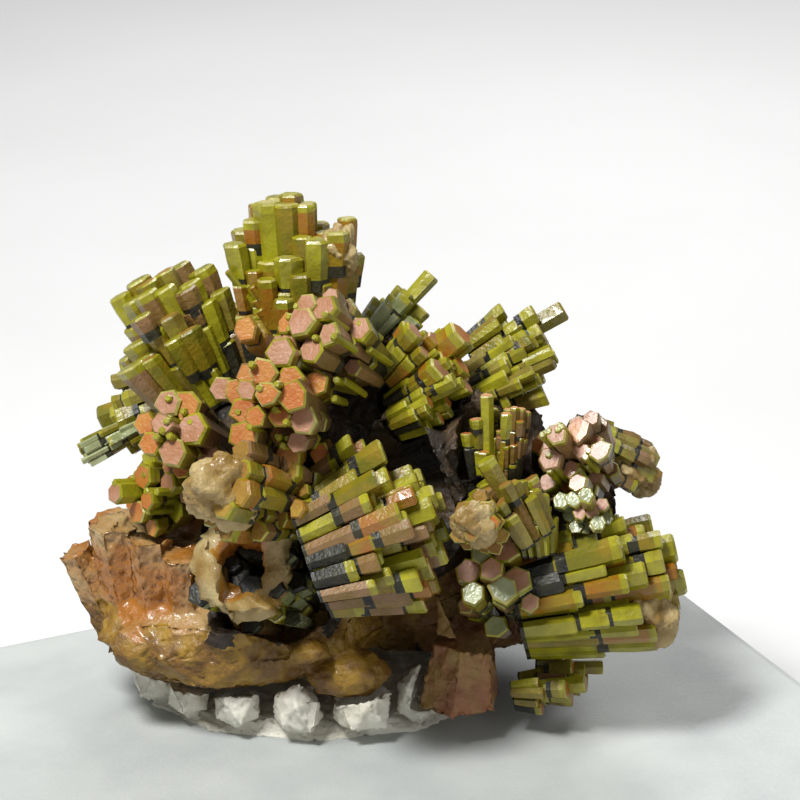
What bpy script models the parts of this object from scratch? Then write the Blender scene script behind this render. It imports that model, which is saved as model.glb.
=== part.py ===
"""Pyromorphite specimen: barrel-shaped bundles of hexagonal prisms on a weathered
matrix, bedded in white putty on a grey slab.

The stand is square to the axes, and its underside is the floor of the model. The
specimen has a frame of its own, turned on the slab: x runs to the right, -y to the
front and z up, and its origin lies on the slab under the middle of the specimen.
"""

import math
import random
from collections import namedtuple

import bmesh
import bpy
import numpy as np
from mathutils import Euler, Matrix, Vector, noise

MM = 0.001

# Stand
STAND_SIZE = (42 * MM, 34 * MM, 5 * MM)
STAND_EDGE = 0.7 * MM

# Place of the specimen on the stand
SPECIMEN_X = 1.5 * MM
SPECIMEN_Y = 3.4 * MM
SPECIMEN_TURN = math.radians(-26)

# Clearance between neighbours, and how far a bundle runs on into the rock
GAP = 0.15 * MM
BURIED = 1.2 * MM

# Flat underside of the matrix, above the slab
MATRIX_FLOOR = 1.7 * MM

# Shape of a bundle: its prisms are a little wider than their spacing and narrow
# slightly to their tips, its foot is narrower than its belly, its outer prisms end
# lower than the middle one, and a share of the outer ring is shorter still
PRISM_WIDTH = 1.13
PRISM_TIP = 0.94
FOOT_TAPER = 0.66
DROOP = 0.24
UNEVEN_TIPS = 0.07
SHORT_OUTER = 0.25
SHORT_SHARE = 0.4
OUTER_RING = 0.8

# Lumps with a longer half-axis than this, in mm, are rounder
LARGE_LUMP = 1.8

# Corners closer than this are one, and faces that bend less than this are one plane
WELD = 0.002 * MM
FLAT_ANGLE = math.radians(0.3)

# Reach of the blocks that cut a bundle or the rock flat
BLOCK = 60 * MM

Bundle = namedtuple("Bundle", "root tip radius prisms flare look")
Lump = namedtuple("Lump", "centre radii turn seed")
Form = namedtuple("Form", "foot axis points size")

# Tilts that are tried for the plane between two bundles
PLANE_WEIGHTS = (-1.2, -0.6, -0.3, 0, 0.3, 0.6, 1.2)

GREEN, OLIVE, AMBER, TAN, CREAM, SILVER = "green", "olive", "amber", "tan", "cream", "silver"

COLOURS = {
    GREEN: (0.30, 0.34, 0.03),
    OLIVE: (0.26, 0.24, 0.03),
    AMBER: (0.38, 0.18, 0.03),
    TAN: (0.40, 0.22, 0.11),
    CREAM: (0.50, 0.41, 0.22),
    SILVER: (0.42, 0.48, 0.26),
}

# Bundles by node, each from the middle of its foot to the middle of its tip, in mm
BARRELS = {
    "crown_barrel": [
        Bundle((-4.2, 2.2, 17.7), (-4.6, 3.4, 25.9), 3.3, 19, 0.0, GREEN),
        Bundle((-5.4, 1.0, 18.8), (-8.0, 0.9, 22.5), 0.75, 4, 0.0, GREEN),
    ],
    "upper_left_barrel": [
        Bundle((-8.8, 1.8, 16.0), (-12.0, 2.8, 21.7), 3.3, 13, 0.10, OLIVE),
    ],
    "far_left_barrel": [
        Bundle((-11.6, 3.6, 14.3), (-14.8, 4.0, 12.8), 1.9, 7, 0.05, OLIVE),
        Bundle((-11.6, 2.2, 13.5), (-15.3, 1.4, 11.7), 0.7, 1, 0.0, SILVER),
    ],
    "upper_tip_cluster": [
        Bundle((-1.4, -1.6, 18.4), (-4.3, -5.6, 22.1), 2.3, 13, 0.10, TAN),
    ],
    "middle_tip_cluster": [
        Bundle((-4.0, -3.0, 16.6), (-5.5, -8.8, 19.6), 2.9, 16, 0.15, AMBER),
    ],
    "left_tip_cluster": [
        Bundle((-8.7, -2.8, 14.7), (-10.6, -7.0, 17.3), 2.3, 10, 0.12, TAN),
    ],
    "lower_left_barrel": [
        Bundle((-10.4, -1.4, 11.5), (-13.2, -4.0, 12.4), 1.9, 7, 0.10, GREEN),
    ],
    "crusted_barrel": [
        Bundle((-4.4, -6.0, 12.8), (-7.5, -9.0, 15.0), 2.1, 7, 0.0, CREAM),
    ],
    "hollow_barrel": [
        Bundle((-5.0, -3.0, 7.0), (-6.9, -7.2, 10.4), 2.7, 7, 0.0, CREAM),
    ],
    "front_barrel": [
        Bundle((-2.4, -6.6, 10.8), (3.1, -6.2, 12.8), 4.4, 19, 0.0, OLIVE),
    ],
    "lower_right_barrel": [
        Bundle((7.4, -3.8, 7.2), (14.8, -3.4, 8.8), 4.0, 13, -0.05, OLIVE),
    ],
    "upper_middle_barrel": [
        Bundle((1.6, -0.2, 17.2), (4.0, -0.4, 19.4), 2.1, 7, 0.05, AMBER),
        Bundle((1.4, -2.2, 16.1), (3.9, -2.6, 17.6), 1.3, 5, 0.0, GREEN),
    ],
    "twin_barrels": [
        Bundle((5.4, 3.2, 17.0), (8.9, 3.7, 19.0), 1.7, 7, 0.05, GREEN),
        Bundle((5.2, 1.0, 16.0), (8.7, 1.3, 17.6), 1.6, 7, 0.05, OLIVE),
    ],
    "silvery_barrel": [
        Bundle((0.1, 4.6, 17.7), (2.6, 5.6, 20.2), 1.6, 7, 0.0, SILVER),
    ],
    "upright_green_barrel": [
        Bundle((4.9, -3.2, 14.3), (4.8, -2.8, 17.4), 1.1, 5, 0.0, GREEN),
        Bundle((6.1, -3.0, 14.0), (6.2, -2.8, 16.6), 0.7, 1, 0.0, TAN),
    ],
    "leaning_barrel": [
        Bundle((6.4, -5.2, 11.7), (4.4, -4.8, 15.2), 1.6, 7, 0.0, OLIVE),
        Bundle((7.3, -5.2, 11.0), (7.0, -4.6, 13.7), 1.0, 4, 0.0, GREEN),
    ],
    "pink_tip_barrel": [
        Bundle((9.6, -1.6, 12.8), (7.8, -5.4, 16.4), 1.8, 7, 0.05, TAN),
    ],
    "right_small_crystals": [
        Bundle((9.9, -3.6, 11.4), (9.5, -5.6, 13.2), 1.2, 5, 0.15, SILVER),
    ],
    "far_right_barrel": [
        Bundle((10.4, 2.8, 12.2), (12.8, 3.2, 10.7), 1.6, 5, 0.0, OLIVE),
    ],
    "small_crusted_barrel": [
        Bundle((4.8, -6.0, 11.8), (4.4, -9.2, 13.2), 1.35, 4, 0.0, TAN),
    ],
    "small_crystal_cluster": [
        Bundle((5.7, -3.4, 6.6), (4.9, -7.6, 10.2), 2.2, 10, 0.15, SILVER),
    ],
    "bottom_right_barrel": [
        Bundle((7.5, -4.4, 2.5), (10.3, -5.0, 3.0), 1.4, 4, 0.05, OLIVE),
        Bundle((8.6, -2.6, 2.5), (11.0, -2.6, 2.5), 1.2, 4, 0.0, TAN),
    ],
    "back_middle_barrel": [
        Bundle((0.2, 4.6, 12.6), (1.4, 10.0, 15.0), 2.6, 7, 0.08, OLIVE),
    ],
    "back_left_barrel": [
        Bundle((-5.8, 5.0, 13.0), (-8.6, 9.0, 14.8), 2.5, 7, 0.10, GREEN),
    ],
    "back_lower_left_barrel": [
        Bundle((-8.4, 5.0, 8.6), (-12.0, 8.0, 9.0), 2.2, 7, 0.05, AMBER),
    ],
    "back_right_barrel": [
        Bundle((7.2, 4.6, 8.8), (11.0, 8.0, 8.4), 2.2, 7, 0.05, OLIVE),
    ],
    "back_upper_right_barrel": [
        Bundle((4.8, 5.0, 13.2), (6.6, 8.8, 14.8), 1.8, 7, 0.05, GREEN),
    ],
    "back_lower_barrel": [
        Bundle((1.6, 5.8, 7.4), (3.0, 10.6, 7.8), 2.5, 7, 0.08, AMBER),
    ],
    "back_foot_barrel": [
        Bundle((-4.4, 5.8, 6.6), (-5.8, 10.2, 7.2), 2.1, 7, 0.05, TAN),
    ],
}

# Crust grown over the crystals, by node, in mm
CRUSTS = {
    "crown_barrel": [Lump((-2.1, 1.2, 23.0), (1.1, 1.0, 1.4), 0.2, 3)],
    "crusted_barrel": [Lump((-7.3, -8.4, 14.6), (2.1, 1.6, 2.0), 0.4, 5)],
    "small_crusted_barrel": [Lump((4.4, -8.8, 13.0), (1.3, 0.8, 1.2), 0.1, 7)],
    "far_right_barrel": [Lump((12.6, 3.0, 10.7), (1.5, 1.4, 1.3), 0.3, 9)],
    "lower_right_barrel": [Lump((13.0, -4.2, 6.6), (1.6, 2.0, 1.9), 0.2, 11)],
}

# The hollow bundle: the rim of crust round its open end, by radius and half-thickness,
# and where its floor, its wall and the rim lie along its axis
HOLLOW_RIM = (1.85 * MM, 0.85 * MM)
HOLLOW_FLOOR = 0.52
HOLLOW_WALL = 0.86
RIM_LEVEL = 0.84

# Rock of the matrix, in mm
CORE = Lump((-0.6, 0.8, 11.2), (9.0, 6.0, 7.6), 0.0, 21)
FEET = [
    Lump((7.8, -0.6, 8.6), (4.2, 4.4, 5.4), 0.3, 22),
    Lump((-6.9, -1.2, 4.5), (7.3, 5.4, 2.9), 0.10, 23),
    Lump((2.4, 3.6, 4.4), (8.0, 5.6, 3.6), -0.20, 25),
    Lump((-9.6, 1.2, 9.0), (3.4, 3.6, 4.4), 0.20, 27),
]
LEDGES = [
    Lump((-3.7, -6.3, 5.2), (1.3, 1.1, 0.8), 0.5, 31),
    Lump((-7.4, -5.6, 5.6), (1.8, 1.2, 1.3), 0.2, 33),
    Lump((-11.2, -3.8, 4.4), (2.4, 1.8, 1.6), 0.4, 35),
    Lump((-1.8, -5.0, 3.4), (2.2, 1.6, 1.3), 0.1, 37),
    Lump((-3.0, 8.2, 4.0), (2.8, 1.6, 2.0), 0.2, 41),
]
PILLAR = [((3.6, -4.6, 1.2), 2.3), ((3.9, -4.0, 4.6), 1.7), ((4.6, -2.6, 8.0), 2.0)]

# Weathered columns at the left: foot, top and radius in mm
COLUMNS = [
    ((-12.3, -1.6, 3.6), (-13.3, -1.8, 10.0), 1.35),
    ((-10.9, -2.6, 3.6), (-11.4, -3.0, 9.8), 1.25),
    ((-9.6, -3.2, 3.8), (-9.8, -3.8, 9.2), 1.15),
    ((-12.6, 0.8, 3.6), (-13.6, 0.8, 9.2), 1.30),
    ((-13.4, -1.2, 4.0), (-15.2, -1.2, 8.3), 1.00),
]

# Putty: a pad under the matrix and the lumps pressed out along its edge, in mm
PUTTY_PAD = ((-3.4, 0.2, 0.0), (8.6, 6.0, 1.5))
PUTTY_LUMPS = 9
PUTTY_ARC = (math.radians(-205), math.radians(-30))
PUTTY_LUMP_SIZE = (1.2, 1.8)
PUTTY_TOP = (2.9, 3.6)
PUTTY_INSET = 0.4


def clear_scene():
    for old in list(bpy.data.objects):
        bpy.data.objects.remove(old, do_unlink=True)


def new_collection(name):
    collection = bpy.data.collections.new(name)
    bpy.context.scene.collection.children.link(collection)
    return collection


def plain_material(name, colour, roughness):
    material = bpy.data.materials.new(name)
    material.use_nodes = True
    shader = material.node_tree.nodes["Principled BSDF"]
    shader.inputs["Base Color"].default_value = (*colour, 1.0)
    shader.inputs["Roughness"].default_value = roughness
    shader.inputs["Metallic"].default_value = 0.0
    return material


def mesh_object(name, bm, collection):
    mesh = bpy.data.meshes.new(name)
    bmesh.ops.recalc_face_normals(bm, faces=bm.faces)
    bm.to_mesh(mesh)
    bm.free()
    piece = bpy.data.objects.new(name, mesh)
    collection.objects.link(piece)
    return piece


def scaled(point):
    return Vector(point) * MM


def turned_to(direction):
    """Rotation that takes +Z to a direction."""
    return Vector(direction).to_track_quat("Z", "Y").to_matrix().to_4x4()


def boolean(base, operands, operation):
    """The mesh of a base piece joined with, or cut by, other pieces, which it uses up."""
    group = new_collection("operands")
    for operand in operands:
        for owner in list(operand.users_collection):
            owner.objects.unlink(operand)
        group.objects.link(operand)
    cut = base.modifiers.new("boolean", "BOOLEAN")
    cut.operation = operation
    cut.solver = "EXACT"
    cut.operand_type = "COLLECTION"
    cut.collection = group
    bpy.context.view_layer.update()
    graph = bpy.context.evaluated_depsgraph_get()
    mesh = bpy.data.meshes.new_from_object(base.evaluated_get(graph))
    base.modifiers.clear()
    base.data = mesh
    for operand in operands:
        bpy.data.objects.remove(operand, do_unlink=True)
    bpy.data.collections.remove(group)


def keep_largest_body(piece):
    """Drops the loose crumbs that a cut can leave, and merges faces in one plane."""
    bm = bmesh.new()
    bm.from_mesh(piece.data)
    bmesh.ops.remove_doubles(bm, verts=bm.verts, dist=WELD)
    left = set(bm.faces)
    bodies = []
    while left:
        first = left.pop()
        body = [first]
        stack = [first]
        while stack:
            for edge in stack.pop().edges:
                for face in edge.link_faces:
                    if face in left:
                        left.remove(face)
                        body.append(face)
                        stack.append(face)
        bodies.append(body)
    bodies.sort(key=lambda faces: sum(face.calc_area() for face in faces))
    crumbs = [face for body in bodies[:-1] for face in body]
    bmesh.ops.delete(bm, geom=crumbs, context="FACES")
    bmesh.ops.dissolve_limit(
        bm, angle_limit=FLAT_ANGLE, verts=bm.verts, edges=bm.edges
    )
    bmesh.ops.triangulate(bm, faces=bm.faces)
    bm.to_mesh(piece.data)
    bm.free()


def hexagon_prism(foot, top, radius, twist, collection, narrowing=PRISM_TIP):
    """One crystal: a hexagonal prism from foot to top, slightly narrower at the top."""
    axis = top - foot
    bm = bmesh.new()
    bmesh.ops.create_cone(
        bm,
        cap_ends=True,
        segments=6,
        radius1=radius,
        radius2=radius * narrowing,
        depth=axis.length,
    )
    place = Matrix.Translation((foot + top) / 2) @ turned_to(axis)
    place = place @ Matrix.Rotation(twist, 4, "Z")
    bmesh.ops.transform(bm, matrix=place, verts=bm.verts)
    return mesh_object("prism", bm, collection)


def rough_lump(lump, collection, roughness=0.16):
    """A mass of rock or crust with an uneven surface, an angular one if it is small."""
    bm = bmesh.new()
    subdivisions = 2 if max(lump.radii) > LARGE_LUMP else 1
    bmesh.ops.create_icosphere(bm, subdivisions=subdivisions, radius=1.0)
    shift = Vector((lump.seed, lump.seed * 0.7, 0))
    for vert in bm.verts:
        vert.co *= 1 + roughness * noise.noise(vert.co * 1.7 + shift)
    size = Matrix.Diagonal((*scaled(lump.radii), 1.0))
    place = Matrix.Translation(scaled(lump.centre)) @ Matrix.Rotation(lump.turn, 4, "Z")
    bmesh.ops.transform(bm, matrix=place @ size, verts=bm.verts)
    return mesh_object("lump", bm, collection)


def lattice(count):
    """The first few places of a hexagonal lattice of unit spacing, from its middle."""
    places = []
    for row in range(-2, 3):
        for column in range(-2, 3):
            if abs(row + column) <= 2:
                places.append((column + row / 2, row * math.sqrt(3) / 2))
    places.sort(key=lambda place: round(math.hypot(*place), 3))
    return places[:count]


def bundle_prisms(bundle, seed, collection, hollow=False):
    """The sub-parallel prisms of one bundle, fanned out from a narrower foot."""
    chance = random.Random(seed)
    foot, tip = axis_ends(bundle)
    axis = tip - foot
    turn = turned_to(axis)
    places = lattice(bundle.prisms)
    furthest = max(math.hypot(*place) for place in places)
    spacing = bundle.radius * MM / (0.93 * furthest + 0.6)
    width = spacing * PRISM_WIDTH / math.sqrt(3)
    twist = chance.uniform(0, math.pi / 3)
    prisms = []
    for across, up in places:
        reach = math.hypot(across, up) / max(furthest, 1)
        aside = Vector((across, up, 0)) * spacing
        aside += Vector((chance.uniform(-1, 1), chance.uniform(-1, 1), 0)) * spacing * 0.10
        share = 1 - DROOP * reach**2 - chance.uniform(0, UNEVEN_TIPS)
        if reach > OUTER_RING and chance.random() < SHORT_SHARE:
            share -= SHORT_OUTER * chance.uniform(0.5, 1)
        if hollow:
            share = HOLLOW_FLOOR if reach < OUTER_RING else HOLLOW_WALL
        low = foot + turn @ (aside * FOOT_TAPER)
        high = low + axis * share + turn @ (aside * (1 + bundle.flare - FOOT_TAPER))
        turned = twist + chance.uniform(-0.1, 0.1)
        radius = width * chance.uniform(0.94, 1.08)
        prisms.append(hexagon_prism(low, high, radius, turned, collection))
    return prisms


def crust_rim(bundle, collection):
    """The uneven rim of crust round the open end of a hollow bundle."""
    ring, thickness = HOLLOW_RIM
    sides, around = 6, 10
    bm = bmesh.new()
    bmesh.ops.create_circle(bm, cap_ends=False, segments=sides, radius=thickness)
    bmesh.ops.transform(
        bm,
        matrix=Matrix.Translation((ring, 0, 0)) @ Matrix.Rotation(math.pi / 2, 4, "X"),
        verts=bm.verts,
    )
    bmesh.ops.spin(
        bm,
        geom=bm.verts[:] + bm.edges[:],
        cent=(0, 0, 0),
        axis=(0, 0, 1),
        angle=2 * math.pi,
        steps=around,
        use_merge=True,
    )
    for vert in bm.verts:
        vert.co *= 1 + 0.2 * noise.noise(vert.co * 600)
    foot, tip = axis_ends(bundle)
    place = Matrix.Translation(foot.lerp(tip, RIM_LEVEL)) @ turned_to(tip - foot)
    bmesh.ops.transform(bm, matrix=place, verts=bm.verts)
    return mesh_object("rim", bm, collection)


def half_space(point, outward, collection):
    """A block that fills everything beyond a plane, near the specimen."""
    bm = bmesh.new()
    bmesh.ops.create_cube(bm, size=BLOCK)
    place = Matrix.Translation(point + outward * BLOCK / 2) @ turned_to(outward)
    bmesh.ops.transform(bm, matrix=place, verts=bm.verts)
    return mesh_object("block", bm, collection)


def axis_ends(bundle):
    """The buried foot and the tip of a bundle."""
    foot, tip = scaled(bundle.root), scaled(bundle.tip)
    return foot - (tip - foot).normalized() * BURIED, tip


def corners(piece):
    """The corners of a piece, one row each."""
    return np.array([vert.co[:] for vert in piece.data.vertices])


def contact_plane(mine, other):
    """The plane between two bundles that takes least off them, or None if they are clear."""
    between = other.points.mean(axis=0) - mine.points.mean(axis=0)
    reach = (mine.size + other.size) / 2
    if np.linalg.norm(between) > reach + 2 * GAP:
        return None
    between /= np.linalg.norm(between)
    across = np.cross(mine.axis, other.axis)
    best = None
    for own_weight in PLANE_WEIGHTS:
        for weight in PLANE_WEIGHTS:
            for cross_weight in (-1, 0, 1):
                out = between + mine.axis * own_weight + other.axis * weight
                out = out + across * cross_weight
                out /= np.linalg.norm(out)
                near = (mine.points @ out).max()
                far = (other.points @ out).min()
                if best is None or far - near > best[0]:
                    best = (far - near, out, near, far)
    clear, out, near, far = best
    if clear > GAP:
        return None
    share = mine.size / (mine.size + other.size)
    level = near + (far - near) * share - GAP / 2
    return Vector(out * level), Vector(out)


def contact_planes(name, forms):
    """Where this node's bundles crowd those of another node, the planes between them."""
    planes = []
    for other_name, others in forms.items():
        if other_name != name:
            for mine in forms[name]:
                planes += [contact_plane(mine, other) for other in others]
    return [plane for plane in planes if plane]


def make_bundle(bundle, seed, collection, hollow):
    """One bundle, its prisms grown together and its foot cut flat."""
    prisms = bundle_prisms(bundle, seed, collection, hollow)
    if len(prisms) > 1:
        boolean(prisms[0], prisms[1:], "UNION")
    foot, tip = axis_ends(bundle)
    axis = (tip - foot).normalized()
    boolean(prisms[0], [half_space(foot + axis * GAP, -axis, collection)], "DIFFERENCE")
    return prisms[0]


def form_of(bundle, points):
    foot, tip = axis_ends(bundle)
    size = np.linalg.norm(points - points.mean(axis=0), axis=1).max() * 2
    return Form(foot, np.array((tip - foot).normalized()), points, size)


def make_barrel(name, collection):
    """A node's bundles and crust grown together, and the forms of its bundles."""
    hollow = name == "hollow_barrel"
    pieces = []
    forms = []
    for number, bundle in enumerate(BARRELS[name]):
        piece = make_bundle(bundle, f"{name} {number}", collection, hollow)
        pieces.append(piece)
        forms.append(form_of(bundle, corners(piece)))
    crust = [rough_lump(lump, collection) for lump in CRUSTS.get(name, [])]
    if hollow:
        crust.append(crust_rim(BARRELS[name][0], collection))
    if crust:
        points = np.vstack([forms[0].points] + [corners(piece) for piece in crust])
        forms[0] = form_of(BARRELS[name][0], points)
    barrel = pieces[0]
    if len(pieces + crust) > 1:
        boolean(barrel, pieces[1:] + crust, "UNION")
    barrel.name = name
    barrel.data.name = name
    return barrel, forms


def part_from_neighbours(barrel, forms, collection):
    """Cuts a barrel flat where it crowds its neighbours."""
    planes = contact_planes(barrel.name, forms)
    if planes:
        blocks = [half_space(point, out, collection) for point, out in planes]
        boolean(barrel, blocks, "DIFFERENCE")
    keep_largest_body(barrel)


def socket_cutter(form, collection):
    """The six-sided room that a bundle takes in the rock, a gap wider than the bundle."""
    turn = turned_to(form.axis).to_3x3()
    local = (form.points - np.array(form.foot)) @ np.array(turn)
    angles = math.radians(30) + math.radians(60) * np.arange(6)
    sides = np.stack([np.cos(angles), np.sin(angles)])
    reach = (local[:, :2] @ sides).max(axis=1) / math.cos(math.radians(30)) + GAP
    length = local[:, 2].max() + GAP
    share = local[:, 2] / length
    tip_radius = reach.max()
    low = reach[share < 0.3].max()
    foot_radius = max(
        low, ((reach - tip_radius * share) / (1 - share))[share < 0.9].max()
    )
    bm = bmesh.new()
    bmesh.ops.create_cone(
        bm,
        cap_ends=True,
        segments=6,
        radius1=foot_radius,
        radius2=tip_radius,
        depth=length + GAP,
    )
    middle = Vector((0, 0, (length - GAP) / 2))
    corner = min(bm.verts, key=lambda vert: abs(vert.co.y))
    turn_corner = Matrix.Rotation(-math.atan2(corner.co.y, corner.co.x), 4, "Z")
    place = Matrix.Translation(form.foot) @ turn.to_4x4()
    place = place @ Matrix.Translation(middle) @ turn_corner
    bmesh.ops.transform(bm, matrix=place, verts=bm.verts)
    return mesh_object("socket", bm, collection)


def grown(lump, extra):
    """A lump that is larger all round by an extra."""
    return lump._replace(radii=tuple(radius + extra / MM for radius in lump.radii))


def pillar(collection, extra=0.0):
    """The rock pillar under the right side, narrow in its middle."""
    pieces = []
    for (low, wide), (high, narrow) in zip(PILLAR, PILLAR[1:]):
        foot, top = scaled(low), scaled(high)
        pieces.append(
            hexagon_prism(foot, top, wide * MM + extra, 0.3, collection, narrow / wide)
        )
    return pieces


def columns(collection):
    """The weathered columns at the left."""
    return [
        hexagon_prism(scaled(low), scaled(high), radius * MM, number * 0.4, collection)
        for number, (low, high, radius) in enumerate(COLUMNS)
    ]


def make_matrix(forms, collection):
    pieces = [rough_lump(lump, collection) for lump in (*FEET, *LEDGES)]
    pieces += pillar(collection) + columns(collection)
    matrix = rough_lump(CORE, collection)
    boolean(matrix, pieces, "UNION")
    cutters = [half_space(Vector((0, 0, MATRIX_FLOOR)), Vector((0, 0, -1)), collection)]
    for barrel_forms in forms.values():
        cutters += [socket_cutter(form, collection) for form in barrel_forms]
    boolean(matrix, cutters, "DIFFERENCE")
    keep_largest_body(matrix)
    matrix.name = "matrix"
    matrix.data.name = "matrix"
    return matrix


def make_putty(collection):
    centre, radii = PUTTY_PAD
    chance = random.Random("putty")
    pad = rough_lump(Lump(centre, radii, 0.0, 51), collection, 0.05)
    lumps = []
    start, end = PUTTY_ARC
    for number in range(PUTTY_LUMPS):
        angle = start + (end - start) * number / (PUTTY_LUMPS - 1)
        wide = chance.uniform(*PUTTY_LUMP_SIZE)
        half_height = chance.uniform(*PUTTY_TOP) / 2
        place = (
            centre[0] + (radii[0] - PUTTY_INSET) * math.cos(angle),
            centre[1] + (radii[1] - PUTTY_INSET) * math.sin(angle),
            half_height,
        )
        size = (wide, wide, half_height)
        lumps.append(rough_lump(Lump(place, size, angle, number), collection))
    boolean(pad, lumps, "UNION")
    rock = [grown(lump, 2 * GAP) for lump in (*FEET, *LEDGES)]
    rock = [rough_lump(lump, collection) for lump in rock] + pillar(collection, 2 * GAP)
    boolean(rock[0], rock[1:], "UNION")
    below_rock = half_space(
        Vector((0, 0, MATRIX_FLOOR - 2 * GAP)), Vector((0, 0, -1)), collection
    )
    boolean(rock[0], [below_rock], "DIFFERENCE")
    below_stand = half_space(Vector((0, 0, 0)), Vector((0, 0, -1)), collection)
    boolean(pad, [below_stand, rock[0]], "DIFFERENCE")
    keep_largest_body(pad)
    pad.name = "putty"
    pad.data.name = "putty"
    return pad


def make_stand(collection):
    bm = bmesh.new()
    bmesh.ops.create_cube(bm, size=1.0)
    bmesh.ops.scale(bm, vec=STAND_SIZE, verts=bm.verts)
    stand = mesh_object("stand", bm, collection)
    stand.location = (0, 0, STAND_SIZE[2] / 2)
    edge = stand.modifiers.new("edge", "BEVEL")
    edge.width = STAND_EDGE
    edge.segments = 3
    return stand


def main():
    clear_scene()
    collection = new_collection("pyromorphite_on_stand")

    specimen = bpy.data.objects.new("specimen", None)
    specimen.location = (SPECIMEN_X, SPECIMEN_Y, STAND_SIZE[2])
    specimen.rotation_euler = Euler((0, 0, SPECIMEN_TURN))
    collection.objects.link(specimen)

    crystal = {
        look: plain_material(f"pyromorphite_{look}", colour, 0.4)
        for look, colour in COLOURS.items()
    }
    barrels = {}
    forms = {}
    for name in BARRELS:
        barrels[name], forms[name] = make_barrel(name, collection)
    for name, barrel in barrels.items():
        part_from_neighbours(barrel, forms, collection)
        barrel.data.materials.append(crystal[BARRELS[name][0].look])
        barrel.parent = specimen

    matrix = make_matrix(forms, collection)
    matrix.data.materials.append(plain_material("weathered_rock", (0.30, 0.19, 0.06), 0.8))
    matrix.parent = specimen

    putty = make_putty(collection)
    putty.data.materials.append(plain_material("white_putty", (0.62, 0.60, 0.50), 0.7))
    putty.parent = specimen

    stand = make_stand(collection)
    stand.data.materials.append(plain_material("grey_slab", (0.45, 0.47, 0.46), 0.6))


main()
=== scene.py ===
"""Looks of the pyromorphite specimen, its putty and its grey slab."""

import math
import random

import bmesh
import bpy
from mathutils import Matrix, Vector, noise
from mathutils.bvhtree import BVHTree


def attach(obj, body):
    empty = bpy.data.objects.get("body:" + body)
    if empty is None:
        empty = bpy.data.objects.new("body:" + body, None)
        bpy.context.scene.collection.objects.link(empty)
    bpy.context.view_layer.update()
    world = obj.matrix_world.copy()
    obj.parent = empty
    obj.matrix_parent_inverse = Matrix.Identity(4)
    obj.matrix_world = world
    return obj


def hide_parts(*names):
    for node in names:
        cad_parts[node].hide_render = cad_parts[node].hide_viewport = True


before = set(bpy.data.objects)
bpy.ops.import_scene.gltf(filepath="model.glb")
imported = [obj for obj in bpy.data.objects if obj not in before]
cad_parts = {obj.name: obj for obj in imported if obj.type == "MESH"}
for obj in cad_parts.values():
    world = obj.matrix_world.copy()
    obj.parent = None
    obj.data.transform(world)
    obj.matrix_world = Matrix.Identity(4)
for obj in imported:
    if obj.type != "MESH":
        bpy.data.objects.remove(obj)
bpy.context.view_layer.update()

MM = 0.001

# Place of the specimen on the slab in mm, its turn, and how far in mm a bundle runs on
# into the rock
SPOT = (1.5, 3.4, 5.0)
TURN = math.radians(-26)
PLACE = Matrix.Translation(Vector(SPOT) * MM) @ Matrix.Rotation(TURN, 4, "Z")
BURIED = 1.2

# The camera's aim in the specimen's frame, its distance in mm, its angle above the
# horizon, its lens and film width in mm, and the nearest depth in m that it sees
AIM = (0.75, 5.43, 13.44)
DISTANCE = 200
RAISED = math.radians(22)
LENS = 180
FILM = 36
NEAREST = 0.01

# Soft lights: name, place round the specimen in mm, width in m and power in W, and the
# point in mm that they all face
LIGHTS = (
    ("key", (-60, -60, 150), 0.035, 0.36),
    ("fill", (120, -110, 70), 0.12, 0.05),
    ("back", (30, 130, 110), 0.08, 0.14),
)
LIT_POINT = (0, 0, 12)

# Colour and strength of the light from all round, and the floor's half-width in m
SKY = (0.9, 0.92, 0.95, 1)
SKY_STRENGTH = 0.24
FLOOR_REACH = 2.0

# Lattice of the fine crystals: spacing in mm, the most that it may be of a bundle's
# radius, rows that are tried past the radius, and how far out crystals grow, as a share
# of that radius
SPACING = 1.0
MOST_SPACING = 0.50
SPARE_ROWS = 2
LATTICE_REACH = 1.08

# The lattice at the foot as a share of the full one, and where up the bundle it is full
FOOT_TAPER = 0.70
FULL_SPREAD = 0.7

# A crystal's corners. Half of a block's width as a share of the spacing, with its range,
# its shift as a share of the spacing, its turn in radians, and how uneven its corners and
# its rings are
CORNERS = 6
WIDTH = 0.62
WIDTH_RANGE = (0.78, 1.2)
SHIFT = 0.12
TWIST_RANGE = (-0.22, 0.22)
CORNER_RANGE = (0.82, 1.12)
RING_RANGE = (0.975, 1.025)

# Heights here and below are shares of a bundle's length. The search for a tip goes down
# in steps from its start, and gives up at its least height
SEARCH_STEP = 0.02
CRYSTAL_START = 1.1
CRYSTAL_LEAST = 0.3
KNOB_START = 1.05
KNOB_LEAST = 0.5

# Crystals further out than this share of the radius are often cut short, by a share of
# what they have above the lowest tip, and the others end almost level
STEPPED_OUTSIDE = 0.55
STEPPED_CHANCE = 0.6
STEPPED_RANGE = (0.05, 0.6)
LOWEST_TIP = 0.35
UNEVEN_RANGE = (0, 0.10)

# Crystals further out than this share of the radius are broken across into blocks, with
# one break at most below the low height
BROKEN_OUTSIDE = 0.4
LOW_BREAK = 0.45
BLOCKS = 4
BLOCK_RANGE = (0.12, 0.34)

# Blocks that end below this height are often painted near black, as shade deep among the bundles
SHADE_BELOW = 0.35
SHADE_CHANCE = 0.5

# A block starts this far down in the one below it and has a band of painted shade above the break.
# It is narrower at its foot and its tip, and at full width from a little above its middle
SUNK = 0.04
BAND_TOP = 0.022
BLOCK_FOOT = 0.92
BLOCK_TIP = 0.84
MIDDLE_LIFT = 0.01

# Two bands of colour ring a tip, one and a half edges and half an edge high. An edge is
# this share of half the block's width, and at least this many fit in a block's height
EDGE = 0.35
EDGE_ROOM = 5

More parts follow.
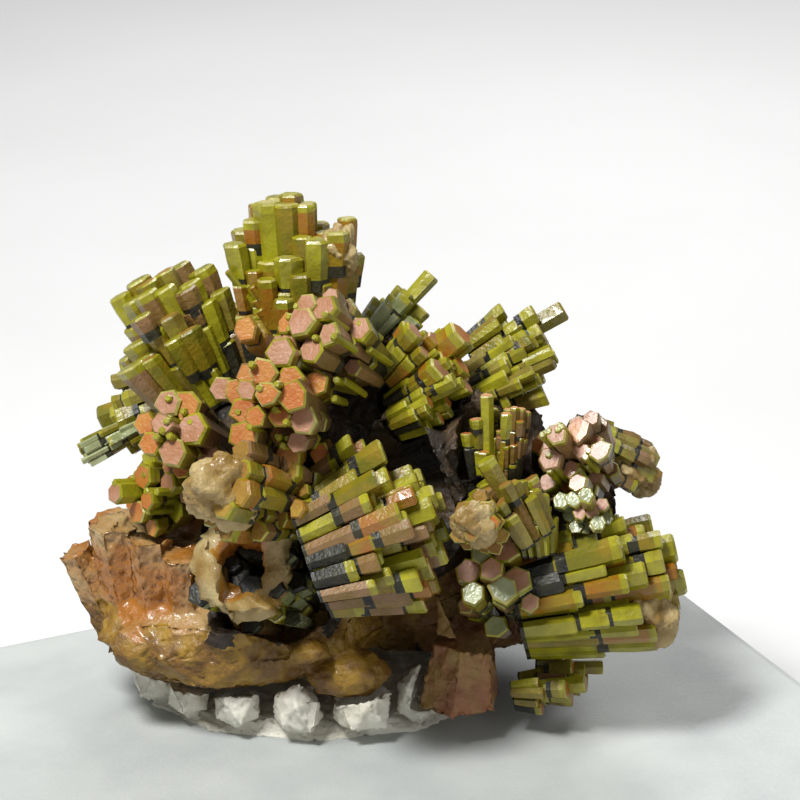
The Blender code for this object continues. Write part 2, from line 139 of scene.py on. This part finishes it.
# Knobs between the tips: how many, half their width in mm, how far out as a share of the
# radius, how far below the solid's surface they end, and the height and size of each ring
KNOBS = 16
KNOB_WIDTH = 0.20
KNOB_REACH = (0.1, 0.9)
KNOB_DEPTH = (0.0, 0.06)
KNOB_RINGS = ((-0.3, 0.9), (-0.1, 1), (-0.04, 1.05), (-0.012, 1), (0, 0.7))

# Looks of the crystals and crusts, in the order of their materials
# The silvery look is a pale sheen painted on glossy faces
GREEN, LIME, OLIVE, AMBER, TAN, PAINTED_SHEEN = range(6)
# The dark look is painted shade for the crevices, the breaks between blocks and the hollow
BAND, RIM, ORANGE, PINK, OCHRE, CRUST, HONEY, PAINTED_SHADE = range(6, 14)

# Bundles by node: foot, tip, radius and flare in mm, the colours of their sides and
# the colours of their tips
BUNDLES = {
    "crown_barrel": [
        ((-4.2, 2.2, 17.7), (-4.6, 3.4, 25.9), 3.3, 0.0, (GREEN, LIME, AMBER, AMBER), (RIM, LIME)),
        ((-5.4, 1.0, 18.8), (-8.0, 0.9, 22.5), 0.75, 0.0, (LIME, AMBER), (OCHRE, LIME)),
    ],
    "upper_left_barrel": [
        ((-8.8, 1.8, 16.0), (-12.0, 2.8, 21.7), 3.3, 0.1, (OLIVE, LIME, TAN, GREEN), (OCHRE, LIME)),
    ],
    "far_left_barrel": [
        ((-11.6, 3.6, 14.3), (-14.8, 4.0, 12.8), 1.9, 0.05, (OLIVE, GREEN), (OCHRE, TAN)),
        ((-11.6, 2.2, 13.5), (-15.3, 1.4, 11.7), 0.7, 0.0, (PAINTED_SHEEN, GREEN), (RIM,)),
    ],
    "upper_tip_cluster": [
        ((-1.4, -1.6, 18.4), (-4.3, -5.6, 22.1), 2.3, 0.1, (TAN, OLIVE, TAN), (PINK, ORANGE, PINK)),
    ],
    "middle_tip_cluster": [
        ((-4.0, -3.0, 16.6), (-5.5, -8.8, 19.6), 2.9, 0.15, (AMBER, TAN), (ORANGE, ORANGE, PINK)),
    ],
    "left_tip_cluster": [
        ((-8.7, -2.8, 14.7), (-10.6, -7.0, 17.3), 2.3, 0.12, (TAN, GREEN), (PINK, PINK, ORANGE)),
    ],
    "lower_left_barrel": [
        ((-10.4, -1.4, 11.5), (-13.2, -4.0, 12.4), 1.9, 0.1, (GREEN, LIME), (PINK, ORANGE, LIME)),
    ],
    "crusted_barrel": [
        ((-4.4, -6.0, 12.8), (-7.5, -9.0, 15.0), 2.1, 0.0, (GREEN, AMBER, TAN), (OCHRE,)),
    ],
    "hollow_barrel": [
        # Its tips face into the hollow and are painted shade
        ((-5.0, -3.0, 7.0), (-6.9, -7.2, 10.4), 2.7, 0.0, (PAINTED_SHEEN, OLIVE, TAN), (PAINTED_SHADE,)),
    ],
    "front_barrel": [
        ((-2.4, -6.6, 10.8), (3.1, -6.2, 12.8), 4.4, 0.0, (GREEN, LIME, AMBER, TAN), (ORANGE, RIM)),
    ],
    "lower_right_barrel": [
        ((7.4, -3.8, 7.2), (14.8, -3.4, 8.8), 4.0, -0.05, (LIME, GREEN, AMBER), (AMBER, ORANGE)),
    ],
    "upper_middle_barrel": [
        ((1.6, -0.2, 17.2), (4.0, -0.4, 19.4), 2.1, 0.05, (GREEN, AMBER, LIME), (ORANGE, PINK)),
        ((1.4, -2.2, 16.1), (3.9, -2.6, 17.6), 1.3, 0.0, (LIME, GREEN), (ORANGE, LIME)),
    ],
    "twin_barrels": [
        ((5.4, 3.2, 17.0), (8.9, 3.7, 19.0), 1.7, 0.05, (LIME, GREEN), (ORANGE, OCHRE)),
        ((5.2, 1.0, 16.0), (8.7, 1.3, 17.6), 1.6, 0.05, (LIME, OLIVE), (ORANGE, PINK)),
    ],
    "silvery_barrel": [
        # Its sides and tips are mostly painted sheen
        ((0.1, 4.6, 17.7), (2.6, 5.6, 20.2), 1.6, 0.0, (PAINTED_SHEEN, PAINTED_SHEEN, LIME), (PAINTED_SHEEN, LIME)),
    ],
    "upright_green_barrel": [
        ((4.9, -3.2, 14.3), (4.8, -2.8, 17.4), 1.1, 0.0, (LIME, GREEN), (ORANGE, RIM)),
        ((6.1, -3.0, 14.0), (6.2, -2.8, 16.6), 0.7, 0.0, (TAN,), (ORANGE,)),
    ],
    "leaning_barrel": [
        ((6.4, -5.2, 11.7), (4.4, -4.8, 15.2), 1.6, 0.0, (GREEN, OLIVE, TAN), (OCHRE, LIME)),
        ((7.3, -5.2, 11.0), (7.0, -4.6, 13.7), 1.0, 0.0, (GREEN, LIME), (LIME,)),
    ],
    "pink_tip_barrel": [
        ((9.6, -1.6, 12.8), (7.8, -5.4, 16.4), 1.8, 0.05, (TAN, OLIVE), (PINK, PINK, ORANGE)),
    ],
    "right_small_crystals": [
        ((9.9, -3.6, 11.4), (9.5, -5.6, 13.2), 1.2, 0.15, (PAINTED_SHEEN, GREEN), (PAINTED_SHEEN, PINK)),
    ],
    "far_right_barrel": [
        ((10.4, 2.8, 12.2), (12.8, 3.2, 10.7), 1.6, 0.0, (OLIVE, TAN), (OCHRE,)),
    ],
    "small_crusted_barrel": [
        ((4.8, -6.0, 11.8), (4.4, -9.2, 13.2), 1.35, 0.0, (TAN, AMBER), (ORANGE, OCHRE)),
    ],
    "small_crystal_cluster": [
        ((5.7, -3.4, 6.6), (4.9, -7.6, 10.2), 2.2, 0.15, (PAINTED_SHEEN, GREEN, TAN), (PINK, PAINTED_SHEEN)),
    ],
    "bottom_right_barrel": [
        ((7.5, -4.4, 2.5), (10.3, -5.0, 3.0), 1.4, 0.05, (LIME, OLIVE), (ORANGE, AMBER)),
        ((8.6, -2.6, 2.5), (11.0, -2.6, 2.5), 1.2, 0.0, (OLIVE, TAN), (AMBER,)),
    ],
    "back_middle_barrel": [
        ((0.2, 4.6, 12.6), (1.4, 10.0, 15.0), 2.6, 0.08, (OLIVE, GREEN), (ORANGE, PINK)),
    ],
    "back_left_barrel": [
        ((-5.8, 5.0, 13.0), (-8.6, 9.0, 14.8), 2.5, 0.1, (GREEN, LIME), (PINK, OCHRE)),
    ],
    "back_lower_left_barrel": [
        ((-8.4, 5.0, 8.6), (-12.0, 8.0, 9.0), 2.2, 0.05, (AMBER, OLIVE), (ORANGE, PINK)),
    ],
    "back_right_barrel": [
        ((7.2, 4.6, 8.8), (11.0, 8.0, 8.4), 2.2, 0.05, (OLIVE, LIME), (ORANGE, OCHRE)),
    ],
    "back_upper_right_barrel": [
        ((4.8, 5.0, 13.2), (6.6, 8.8, 14.8), 1.8, 0.05, (GREEN, LIME), (PINK, ORANGE)),
    ],
    "back_lower_barrel": [
        ((1.6, 5.8, 7.4), (3.0, 10.6, 7.8), 2.5, 0.08, (AMBER, GREEN), (ORANGE, PINK)),
    ],
    "back_foot_barrel": [
        ((-4.4, 5.8, 6.6), (-5.8, 10.2, 7.2), 2.1, 0.05, (TAN, OLIVE), (PINK, OCHRE)),
    ],
}

# Crust grown over the crystals: middle and half-axes in mm, and turn
CRUSTS = {
    "crown_barrel": ((-2.1, 1.2, 23.0), (1.1, 1.0, 1.4), 0.2),
    "crusted_barrel": ((-7.3, -8.4, 14.6), (2.1, 1.6, 2.0), 0.4),
    "small_crusted_barrel": ((4.4, -8.8, 13.0), (1.3, 0.8, 1.2), 0.1),
    "far_right_barrel": ((12.6, 3.0, 10.7), (1.5, 1.4, 1.3), 0.3),
    "lower_right_barrel": ((13.0, -4.2, 6.6), (1.6, 2.0, 1.9), 0.2),
}

# Crust lumps, as shares of their half-axes: size before swelling and pits, the swelling
# and its waves, and the depth and waves of each kind of pit
LUMP_SIZE = 0.90
LUMP_SWELL = 0.42
LUMP_WAVES = 1.5
LUMP_PITS = ((0.20, 4), (0.10, 11))

# The rim of the hollow bundle: radius and half-thickness in mm, height as a share of the
# bundle's length, and faces round the rim and round its wall
RIM_RADIUS = 1.85
RIM_THICKNESS = 0.85
RIM_HEIGHT = 0.84
RIM_STEPS = 72
RIM_SIDES = 24

# The rim's swelling as a share of its half-thickness and its pits in mm, their waves
# round the rim and round its wall, how far in mm the rim wanders and ripples, and the
# cosine round its wall below which it faces the hollow
RIM_SWELL = 0.55
RIM_SWELL_WAVES = (1.6, 0.8)
RIM_PIT = 0.30
RIM_PIT_WAVES = (5, 2)
RIM_WANDER = Vector((0.9, 0.5, 0.7))
RIM_WANDER_WAVES = 0.7
RIM_RIPPLE = 0.3
RIM_RIPPLE_WAVES = 2.4
RIM_INSIDE = -0.2

# Rough surfaces: corners this near in mm are joined, and longer edges than this in mm are
# halved in each round of cutting
WELD = 0.001
CUTS = 4
LONGEST_EDGE = 0.35

# Their relief: waves per mm, the finest as a share of the fine, and for each piece its
# rounds of smoothing and the depth in mm of its broad and its fine relief
BROAD_WAVES = 0.9
FINE_WAVES = 3.1
FINEST_WAVES = 7.0
FINEST_SHARE = 0.5
ROCK_RELIEF = (12, 0.20, 0.30)
PUTTY_RELIEF = (60, 0.16, 0.30)

# Looks of the rock, in the order of its materials, how far in mm and with what waves
# their borders wander, and the places in mm where each ends
# The first look is painted shade, near black, on the rock among and behind the bundles
SHADED_ROCK, OCHRE_CRUST, COLUMNS, PILLAR = range(4)
ROCK_WANDER = 1.2
ROCK_WAVES = 0.8
CRUST_TOP = 5.6
COLUMNS_EDGE = -8.5
COLUMNS_TOP = 11
PILLAR_EDGE = 1.5
PILLAR_TOP = 7.5

# A surface is smoother and rougher than its middle value by these, and never smoother
# than the least. Its bump is this deep in mm
SMOOTHER = 0.12
ROUGHER = 0.15
LEAST_ROUGH = 0.05
BUMP_DEPTH = 0.08


def mottling_group():
    """Patchy mix of two colours, and a fine grain for gloss and bump."""
    group = bpy.data.node_groups.new("crystal_mottling", "ShaderNodeTree")
    sockets = [
        ("First Colour", "NodeSocketColor", "INPUT"),
        ("Second Colour", "NodeSocketColor", "INPUT"),
        ("Patch Scale", "NodeSocketFloat", "INPUT"),
        ("Colour", "NodeSocketColor", "OUTPUT"),
        ("Grain", "NodeSocketFloat", "OUTPUT"),
    ]
    for name, kind, way in sockets:
        group.interface.new_socket(name=name, in_out=way, socket_type=kind)
    nodes, links = group.nodes, group.links
    entry = nodes.new("NodeGroupInput")
    leave = nodes.new("NodeGroupOutput")
    place = nodes.new("ShaderNodeTexCoord")
    patches = nodes.new("ShaderNodeTexNoise")
    patches.inputs["Detail"].default_value = 4
    contrast = nodes.new("ShaderNodeMapRange")
    contrast.inputs["From Min"].default_value = 0.38
    contrast.inputs["From Max"].default_value = 0.62
    mix = nodes.new("ShaderNodeMix")
    mix.data_type = "RGBA"
    grain = nodes.new("ShaderNodeTexNoise")
    grain.inputs["Scale"].default_value = 5200
    grain.inputs["Detail"].default_value = 3
    links.new(place.outputs["Object"], patches.inputs["Vector"])
    links.new(place.outputs["Object"], grain.inputs["Vector"])
    links.new(entry.outputs["Patch Scale"], patches.inputs["Scale"])
    links.new(patches.outputs["Fac"], contrast.inputs["Value"])
    links.new(contrast.outputs["Result"], mix.inputs["Factor"])
    links.new(entry.outputs["First Colour"], mix.inputs["A"])
    links.new(entry.outputs["Second Colour"], mix.inputs["B"])
    links.new(mix.outputs["Result"], leave.inputs["Colour"])
    links.new(grain.outputs["Fac"], leave.inputs["Grain"])
    return group


MOTTLING = mottling_group()


def surface(name, first, second, scale, rough, bump, coat=0.0):
    """A mottled surface in two linear colours, its grain and its gloss."""
    material = bpy.data.materials.new(name)
    material.use_nodes = True
    nodes, links = material.node_tree.nodes, material.node_tree.links
    shader = nodes["Principled BSDF"]
    mottle = nodes.new("ShaderNodeGroup")
    mottle.node_tree = MOTTLING
    mottle.inputs["First Colour"].default_value = (*first, 1)
    mottle.inputs["Second Colour"].default_value = (*second, 1)
    mottle.inputs["Patch Scale"].default_value = scale
    spread = nodes.new("ShaderNodeMapRange")
    spread.inputs["To Min"].default_value = max(rough - SMOOTHER, LEAST_ROUGH)
    spread.inputs["To Max"].default_value = min(rough + ROUGHER, 1.0)
    relief = nodes.new("ShaderNodeBump")
    relief.inputs["Strength"].default_value = bump
    relief.inputs["Distance"].default_value = BUMP_DEPTH * MM
    links.new(mottle.outputs["Colour"], shader.inputs["Base Color"])
    links.new(mottle.outputs["Grain"], spread.inputs["Value"])
    links.new(spread.outputs["Result"], shader.inputs["Roughness"])
    links.new(mottle.outputs["Grain"], relief.inputs["Height"])
    links.new(relief.outputs["Normal"], shader.inputs["Normal"])
    shader.inputs["Coat Weight"].default_value = coat
    return material


# Two linear colours, patches per metre, roughness, strength of the bump, and coat
CRYSTAL = {
    GREEN: surface("green_sides", (0.14, 0.13, 0.006), (0.23, 0.16, 0.008), 900, 0.34, 0.6, 0.2),
    LIME: surface("lime_sides", (0.31, 0.29, 0.010), (0.20, 0.18, 0.006), 900, 0.32, 0.5, 0.2),
    OLIVE: surface("olive_sides", (0.15, 0.11, 0.012), (0.22, 0.18, 0.02), 800, 0.38, 0.6, 0.15),
    AMBER: surface("amber_sides", (0.27, 0.10, 0.006), (0.24, 0.16, 0.008), 700, 0.34, 0.6, 0.25),
    TAN: surface("tan_sides", (0.22, 0.12, 0.05), (0.16, 0.095, 0.015), 800, 0.42, 0.7, 0.1),
    # Pale silvery colour painted as sheen and glints, on a glossy coated surface
    PAINTED_SHEEN: surface("painted_sheen_sides", (0.36, 0.39, 0.22), (0.20, 0.22, 0.08), 800, 0.2, 0.4, 0.4),
    BAND: surface("green_edges", (0.31, 0.29, 0.014), (0.21, 0.18, 0.007), 1100, 0.32, 0.5, 0.2),
    RIM: surface("pale_rims", (0.40, 0.34, 0.10), (0.26, 0.25, 0.03), 1300, 0.4, 0.6, 0.1),
    ORANGE: surface("orange_tips", (0.36, 0.10, 0.012), (0.42, 0.18, 0.03), 620, 0.38, 0.5, 0.15),
    PINK: surface("pink_tips", (0.40, 0.21, 0.13), (0.32, 0.14, 0.06), 720, 0.42, 0.5, 0.1),
    OCHRE: surface("ochre_tips", (0.33, 0.20, 0.03), (0.24, 0.12, 0.02), 720, 0.42, 0.7, 0.1),
    CRUST: surface("cream_crust", (0.42, 0.32, 0.14), (0.22, 0.125, 0.02), 480, 0.5, 1.0, 0.15),
    HONEY: surface("honey_wall", (0.28, 0.09, 0.008), (0.40, 0.21, 0.035), 420, 0.3, 0.7, 0.4),
    # Near black, painted as shade in the crevices, at the breaks between blocks and in the hollow
    PAINTED_SHADE: surface("painted_crevice_shade", (0.006, 0.006, 0.005), (0.03, 0.028, 0.010), 900, 0.45, 0.8),
}


def placed(point):
    """A point of the specimen, given in mm, in the part's frame."""
    return PLACE @ (Vector(point) * MM)


def turned_to(direction):
    """The rotation that turns +Z to a direction."""
    return Vector(direction).to_track_quat("Z", "Y").to_matrix()


def flat_turn(angle):
    """The direction at an angle in the plane across a bundle."""
    return Vector((math.cos(angle), math.sin(angle), 0))


def sideways(chance, spacing):
    """A small random step across a bundle."""
    return Vector((chance.uniform(-1, 1), chance.uniform(-1, 1), 0)) * spacing * SHIFT


class Bundle:
    """A bundle's axis, from its foot in the rock to its tip, and its colours."""

    def __init__(self, root, tip, radius, flare, sides, tips):
        self.foot = placed(root)
        top = placed(tip)
        self.along = (top - self.foot).normalized()
        self.foot -= self.along * BURIED * MM
        self.length = (top - self.foot).length
        self.across = turned_to(self.along)
        self.radius = radius
        self.spacing = min(SPACING, radius * MOST_SPACING) * MM
        self.flare = flare
        self.sides = sides
        self.tips = tips

    def spot(self, aside, share):
        """The point at a share of the bundle's length, aside from its axis."""
        return self.foot + self.along * self.length * share + self.across @ aside

    def widening(self, share):
        """How wide the lattice is at a share of the bundle's length."""
        return FOOT_TAPER + (1 + self.flare - FOOT_TAPER) * min(share / FULL_SPREAD, 1)

    def spread_spot(self, aside, share):
        """The point of a crystal that spreads out with the lattice."""
        return self.spot(aside * self.widening(share), share)


def inside(tree, point):
    """Whether a point is inside a closed solid, by the nearest place on its surface."""
    near, normal, _, _ = tree.find_nearest(point)
    return (point - near).dot(normal) < 0


def highest_inside(tree, spot, aside, share, least):
    """How far up a line in a bundle its points are inside the bundle's solid."""
    while share > least and not inside(tree, spot(aside, share)):
        share -= SEARCH_STEP
    return share


def prism(bm, path, width, twist, looks, chance):
    """One hexagonal prism along a path of rings, with its foot, sides, edge and tip."""
    foot, sides, tip = looks
    corners = [chance.uniform(*CORNER_RANGE) for _ in range(CORNERS)]
    edges = chance.choice(((BAND, RIM), (sides, BAND), (sides, sides), (BAND, BAND)))
    # Tips in the hollow get their edges painted shade as well
    if tip == PAINTED_SHADE:
        edges = (PAINTED_SHADE, PAINTED_SHADE)
    rings = []
    for centre, across, size in path:
        ring = []
        for corner in range(CORNERS):
            angle = twist + corner * math.pi / 3
            reach = width * size * corners[corner] * chance.uniform(*RING_RANGE)
            ring.append(bm.verts.new(centre + across @ (flat_turn(angle) * reach)))
        rings.append(ring)
    bands = [sides] * (len(rings) - 1 - len(edges)) + list(edges)
    bands[0] = foot
    for low, high, look in zip(rings, rings[1:], bands):
        for corner in range(CORNERS):
            after = (corner + 1) % CORNERS
            face = bm.faces.new((low[corner], low[after], high[after], high[corner]))
            face.material_index = look
    bm.faces.new(rings[-1]).material_index = tip
    # The foot cap is painted shade
    bm.faces.new(reversed(rings[0])).material_index = PAINTED_SHADE


def block_tops(share, reach, chance):
    """A crystal's tip and the breaks across it below, from the tip down."""
    if reach > STEPPED_OUTSIDE and chance.random() < STEPPED_CHANCE:
        share -= chance.uniform(*STEPPED_RANGE) * (share - LOWEST_TIP)
    else:
        share -= chance.uniform(*UNEVEN_RANGE)
    tops = [share]
    while reach > BROKEN_OUTSIDE and tops[-1] > LOW_BREAK and len(tops) < BLOCKS:
        tops.append(tops[-1] - chance.uniform(*BLOCK_RANGE))
    return tops


def block_path(bundle, aside, slip, low, high, edge):
    """The rings of one block of a crystal, from the break below it to its own tip."""
    rings = (
        (max(low - SUNK, 0), BLOCK_FOOT),
        (low + BAND_TOP, BLOCK_FOOT),
        ((low + high) / 2 + MIDDLE_LIFT, 1),
        (high - 2 * edge, 1),
        (high - edge / 2, 1),
        (high, BLOCK_TIP),
    )
    path = []
    for share, size in rings:
        centre = bundle.spread_spot(aside, share) + bundle.across @ slip
        path.append((centre, bundle.across, size * bundle.widening(share)))
    return path


def grow_crystal(bm, bundle, aside, tops, twist, chance):
    """One fine crystal of stacked blocks, each slipped a little on the one below."""
    low = 0
    for high in reversed(tops):
        width = bundle.spacing * WIDTH * chance.uniform(*WIDTH_RANGE)
        edge = min(EDGE * width / bundle.length, (high - low) / EDGE_ROOM)
        slip = sideways(chance, bundle.spacing)
        path = block_path(bundle, aside, slip, low, high, edge)
        # Low blocks are often painted near black as shade, and each block's foot band is painted
        # shade
        shaded = high < SHADE_BELOW and chance.random() < SHADE_CHANCE
        sides = PAINTED_SHADE if shaded else chance.choice(bundle.sides)
        tip = chance.choice(bundle.tips if high == tops[0] else bundle.sides)
        turn = twist + chance.uniform(*TWIST_RANGE)
        prism(bm, path, width, turn, (PAINTED_SHADE, sides, tip), chance)
        low = high


def grow_knobs(bm, tree, bundle, chance):
    """Small green knobs that stand between the tips."""
    for _ in range(KNOBS):
        angle, reach = chance.uniform(0, 2 * math.pi), chance.uniform(*KNOB_REACH)
        aside = flat_turn(angle) * reach * bundle.radius * MM
        share = highest_inside(tree, bundle.spot, aside, KNOB_START, KNOB_LEAST)
        share -= chance.uniform(*KNOB_DEPTH)
        path = [
            (bundle.spot(aside, share + step), bundle.across, size) for step, size in KNOB_RINGS
        ]
        prism(bm, path, KNOB_WIDTH * MM, angle, (LIME, LIME, LIME), chance)


def grow_bundle(bm, tree, bundle, chance):
    """The fine crystals of one bundle, inside its solid and stepped down its sides."""
    twist = chance.uniform(0, math.pi / 3)
    rows = int(bundle.radius * MM / bundle.spacing) + SPARE_ROWS
    for row in range(-rows, rows + 1):
        for column in range(-rows, rows + 1):
            aside = Vector((column + row / 2, row * math.sqrt(3) / 2, 0)) * bundle.spacing
            aside += sideways(chance, bundle.spacing)
            reach = aside.length / (bundle.radius * MM)
            if reach > LATTICE_REACH:
                continue
            spot = bundle.spread_spot
            share = highest_inside(tree, spot, aside, CRYSTAL_START, CRYSTAL_LEAST)
            if share > CRYSTAL_LEAST:
                tops = block_tops(share, reach, chance)
                grow_crystal(bm, bundle, aside, tops, twist, chance)
    if ORANGE in bundle.tips and PINK in bundle.tips:
        grow_knobs(bm, tree, bundle, chance)


def crust_lump(bm, lump):
    """Pitted crust over the crystals."""
    centre, radii, turn = lump
    made = bmesh.ops.create_icosphere(bm, subdivisions=5, radius=1.0)["verts"]
    size = Matrix.Diagonal((*(Vector(radii) * MM), 1.0))
    place = PLACE @ Matrix.Translation(Vector(centre) * MM) @ Matrix.Rotation(turn, 4, "Z")
    for vert in made:
        point = vert.co.copy()
        swell = LUMP_SIZE + LUMP_SWELL * noise.noise(point * LUMP_WAVES)
        for depth, waves in LUMP_PITS:
            swell -= depth * abs(noise.noise(point * waves))
        vert.co = place @ size @ (point * swell)
    for face in {face for vert in made for face in vert.link_faces}:
        face.material_index = CRUST
        face.smooth = True


def two_way_noise(first, second, waves):
    """Noise over two directions, with waves of its own for each."""
    return noise.noise(first * waves[0] + second * waves[1])


def rim_spot(angle, bend):
    """A point of the hollow rim in mm: an angle round it, and one round its wall."""
    spin = flat_turn(angle)
    curl = Vector((0, 0, math.sin(bend)))
    thick = RIM_THICKNESS * (1 + RIM_SWELL * two_way_noise(spin, curl, RIM_SWELL_WAVES))
    thick -= RIM_PIT * abs(two_way_noise(spin, curl, RIM_PIT_WAVES))
    out = RIM_RADIUS + thick * math.cos(bend)
    spot = Vector((out * math.cos(angle), out * math.sin(angle), thick * math.sin(bend)))
    wander = RIM_WANDER * noise.noise(spot * RIM_WANDER_WAVES)
    ripple = RIM_RIPPLE * spin * noise.noise(spot * RIM_RIPPLE_WAVES)
    return spot + (wander + ripple)


def hollow_rim(bm, root, tip):
    """The uneven crust round the open end of the hollow bundle, honey-coloured inside."""
    root, tip = Vector(root), Vector(tip)
    root -= (tip - root).normalized() * BURIED
    centre = placed(root.lerp(tip, RIM_HEIGHT))
    turn = PLACE.to_3x3() @ turned_to(tip - root)
    grid = []
    for step in range(RIM_STEPS):
        angle = step / RIM_STEPS * 2 * math.pi
        row = []
        for side in range(RIM_SIDES):
            bend = side / RIM_SIDES * 2 * math.pi
            row.append(bm.verts.new(centre + turn @ (rim_spot(angle, bend) * MM)))
        grid.append(row)
    for step in range(RIM_STEPS):
        for side in range(RIM_SIDES):
            after, beside = (step + 1) % RIM_STEPS, (side + 1) % RIM_SIDES
            face = bm.faces.new(
                (grid[step][side], grid[after][side], grid[after][beside], grid[step][beside])
            )
            bend = (side + 0.5) / RIM_SIDES * 2 * math.pi
            face.material_index = HONEY if math.cos(bend) < RIM_INSIDE else CRUST
            face.smooth = True


def finished(name, bm, materials, node):
    """The piece made from a mesh, which stands for a node of the part."""
    bmesh.ops.recalc_face_normals(bm, faces=bm.faces)
    mesh = bpy.data.meshes.new(name)
    bm.to_mesh(mesh)
    bm.free()
    piece = bpy.data.objects.new(name, mesh)
    bpy.context.scene.collection.objects.link(piece)
    for material in materials:
        mesh.materials.append(material)
    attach(piece, "root")
    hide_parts(node)


def make_crystals():
    """One piece of fine crystals for each node of bundles, with its crust."""
    for node, bundles in BUNDLES.items():
        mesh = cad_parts[node].data
        faces = [polygon.vertices[:] for polygon in mesh.polygons]
        tree = BVHTree.FromPolygons([vert.co for vert in mesh.vertices], faces)
        chance = random.Random(node)
        bm = bmesh.new()
        for bundle in bundles:
            grow_bundle(bm, tree, Bundle(*bundle), chance)
        if node in CRUSTS:
            crust_lump(bm, CRUSTS[node])
        if node == "hollow_barrel":
            root, tip, *_ = bundles[0]
            hollow_rim(bm, root, tip)
        finished(f"{node}_crystals", bm, CRYSTAL.values(), node)


def roughened(node, smoothing, relief, fine):
    """A finer copy of a node's mesh, smoothed and then worn inwards by its relief."""
    bm = bmesh.new()
    bm.from_mesh(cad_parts[node].data)
    bmesh.ops.remove_doubles(bm, verts=bm.verts, dist=WELD * MM)
    for _ in range(CUTS):
        long = [edge for edge in bm.edges if edge.calc_length() > LONGEST_EDGE * MM]
        bmesh.ops.subdivide_edges(bm, edges=long, cuts=1)
        bmesh.ops.triangulate(bm, faces=bm.faces)
    for _ in range(smoothing):
        bmesh.ops.smooth_vert(bm, verts=bm.verts, factor=0.5)
    bm.normal_update()
    shifts = []
    for vert in bm.verts:
        point = vert.co / MM
        depth = relief * abs(noise.noise(point * BROAD_WAVES))
        depth += fine * abs(noise.noise(point * FINE_WAVES))
        depth += fine * FINEST_SHARE * abs(noise.noise(point * FINEST_WAVES))
        shifts.append(vert.normal * -depth * MM)
    for vert, shift in zip(bm.verts, shifts):
        vert.co += shift
    for face in bm.faces:
        face.smooth = True
    return bm


def rock_look(x, y, z):
    """Which rock shows at a place of the specimen, in mm."""
    wander = ROCK_WANDER * noise.noise((x * ROCK_WAVES, y * ROCK_WAVES, z * ROCK_WAVES))
    if z + wander < CRUST_TOP and x < PILLAR_EDGE:
        return OCHRE_CRUST
    if x + wander < COLUMNS_EDGE and z < COLUMNS_TOP:
        return COLUMNS
    if x + wander > PILLAR_EDGE and y < 0 and z < PILLAR_TOP:
        return PILLAR
    return SHADED_ROCK


def make_matrix():
    """The rock: honey columns and a tan pillar, ochre crust below, near-black painted shade
    elsewhere.
    """
    bm = roughened("matrix", *ROCK_RELIEF)
    back = PLACE.inverted()
    for face in bm.faces:
        face.material_index = rock_look(*((back @ face.calc_center_median()) / MM))
    rock = [
        # Near black, painted as shade on the rock among the bundles
        surface("rock_in_painted_shade", (0.012, 0.009, 0.006), (0.07, 0.04, 0.016), 500, 0.55, 1.0),
        surface("ochre_crust", (0.30, 0.17, 0.014), (0.15, 0.07, 0.010), 800, 0.5, 1.0, 0.15),
        surface("honey_columns", (0.32, 0.12, 0.015), (0.38, 0.26, 0.11), 330, 0.3, 0.8, 0.4),
        surface("red_tan_pillar", (0.25, 0.10, 0.04), (0.30, 0.18, 0.05), 500, 0.5, 1.0),
    ]
    finished("weathered_matrix", bm, rock, "matrix")


def make_putty():
    """The white putty, smoothed to soft lumps with fine creases."""
    bm = roughened("putty", *PUTTY_RELIEF)
    look = surface("white_putty", (0.78, 0.76, 0.66), (0.66, 0.63, 0.52), 260, 0.6, 0.5)
    finished("folded_putty", bm, [look], "putty")


def finish_slab():
    """The slab keeps its solid and gets a mottled light grey finish."""
    grey = surface("grey_slab", (0.40, 0.42, 0.41), (0.47, 0.49, 0.47), 160, 0.55, 0.3)
    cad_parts["stand"].material_slots[0].material = grey


def make_stage():
    """A plain pale floor under the slab."""
    bm = bmesh.new()
    bmesh.ops.create_grid(bm, x_segments=1, y_segments=1, size=FLOOR_REACH)
    mesh = bpy.data.meshes.new("floor")
    bm.to_mesh(mesh)
    bm.free()
    floor = bpy.data.objects.new("floor", mesh)
    bpy.context.scene.collection.objects.link(floor)
    mesh.materials.append(surface("pale_floor", (0.72, 0.72, 0.71), (0.70, 0.70, 0.69), 40, 0.7, 0))


def soft_light(name, spot, aim, size, power):
    """A square soft light that faces its aim."""
    lamp = bpy.data.lights.new(name, "AREA")
    lamp.size = size
    lamp.energy = power
    light = bpy.data.objects.new(name, lamp)
    light.location = spot
    light.rotation_euler = (Vector(aim) - Vector(spot)).to_track_quat("-Z", "Y").to_euler()
    bpy.context.scene.collection.objects.link(light)


def make_lights():
    """A pale sky and three soft lights."""
    world = bpy.data.worlds.new("studio")
    world.use_nodes = True
    world.node_tree.nodes["Background"].inputs["Color"].default_value = SKY
    world.node_tree.nodes["Background"].inputs["Strength"].default_value = SKY_STRENGTH
    bpy.context.scene.world = world
    bpy.context.scene.view_settings.view_transform = "Standard"
    for name, spot, size, power in LIGHTS:
        soft_light(name, placed(spot), placed(LIT_POINT), size, power)


def make_camera():
    """The camera at the photograph's angle and framing."""
    camera = bpy.data.objects.new("camera", bpy.data.cameras.new("camera"))
    camera.data.lens = LENS
    camera.data.sensor_width = FILM
    camera.data.clip_start = NEAREST
    back = PLACE.to_3x3() @ Vector((0, -math.cos(RAISED), math.sin(RAISED)))
    camera.location = placed(AIM) + back * DISTANCE * MM
    camera.rotation_euler = back.to_track_quat("Z", "Y").to_euler()
    bpy.context.scene.collection.objects.link(camera)
    bpy.context.scene.camera = camera


make_crystals()
make_matrix()
make_putty()
finish_slab()
make_stage()
make_lights()
make_camera()
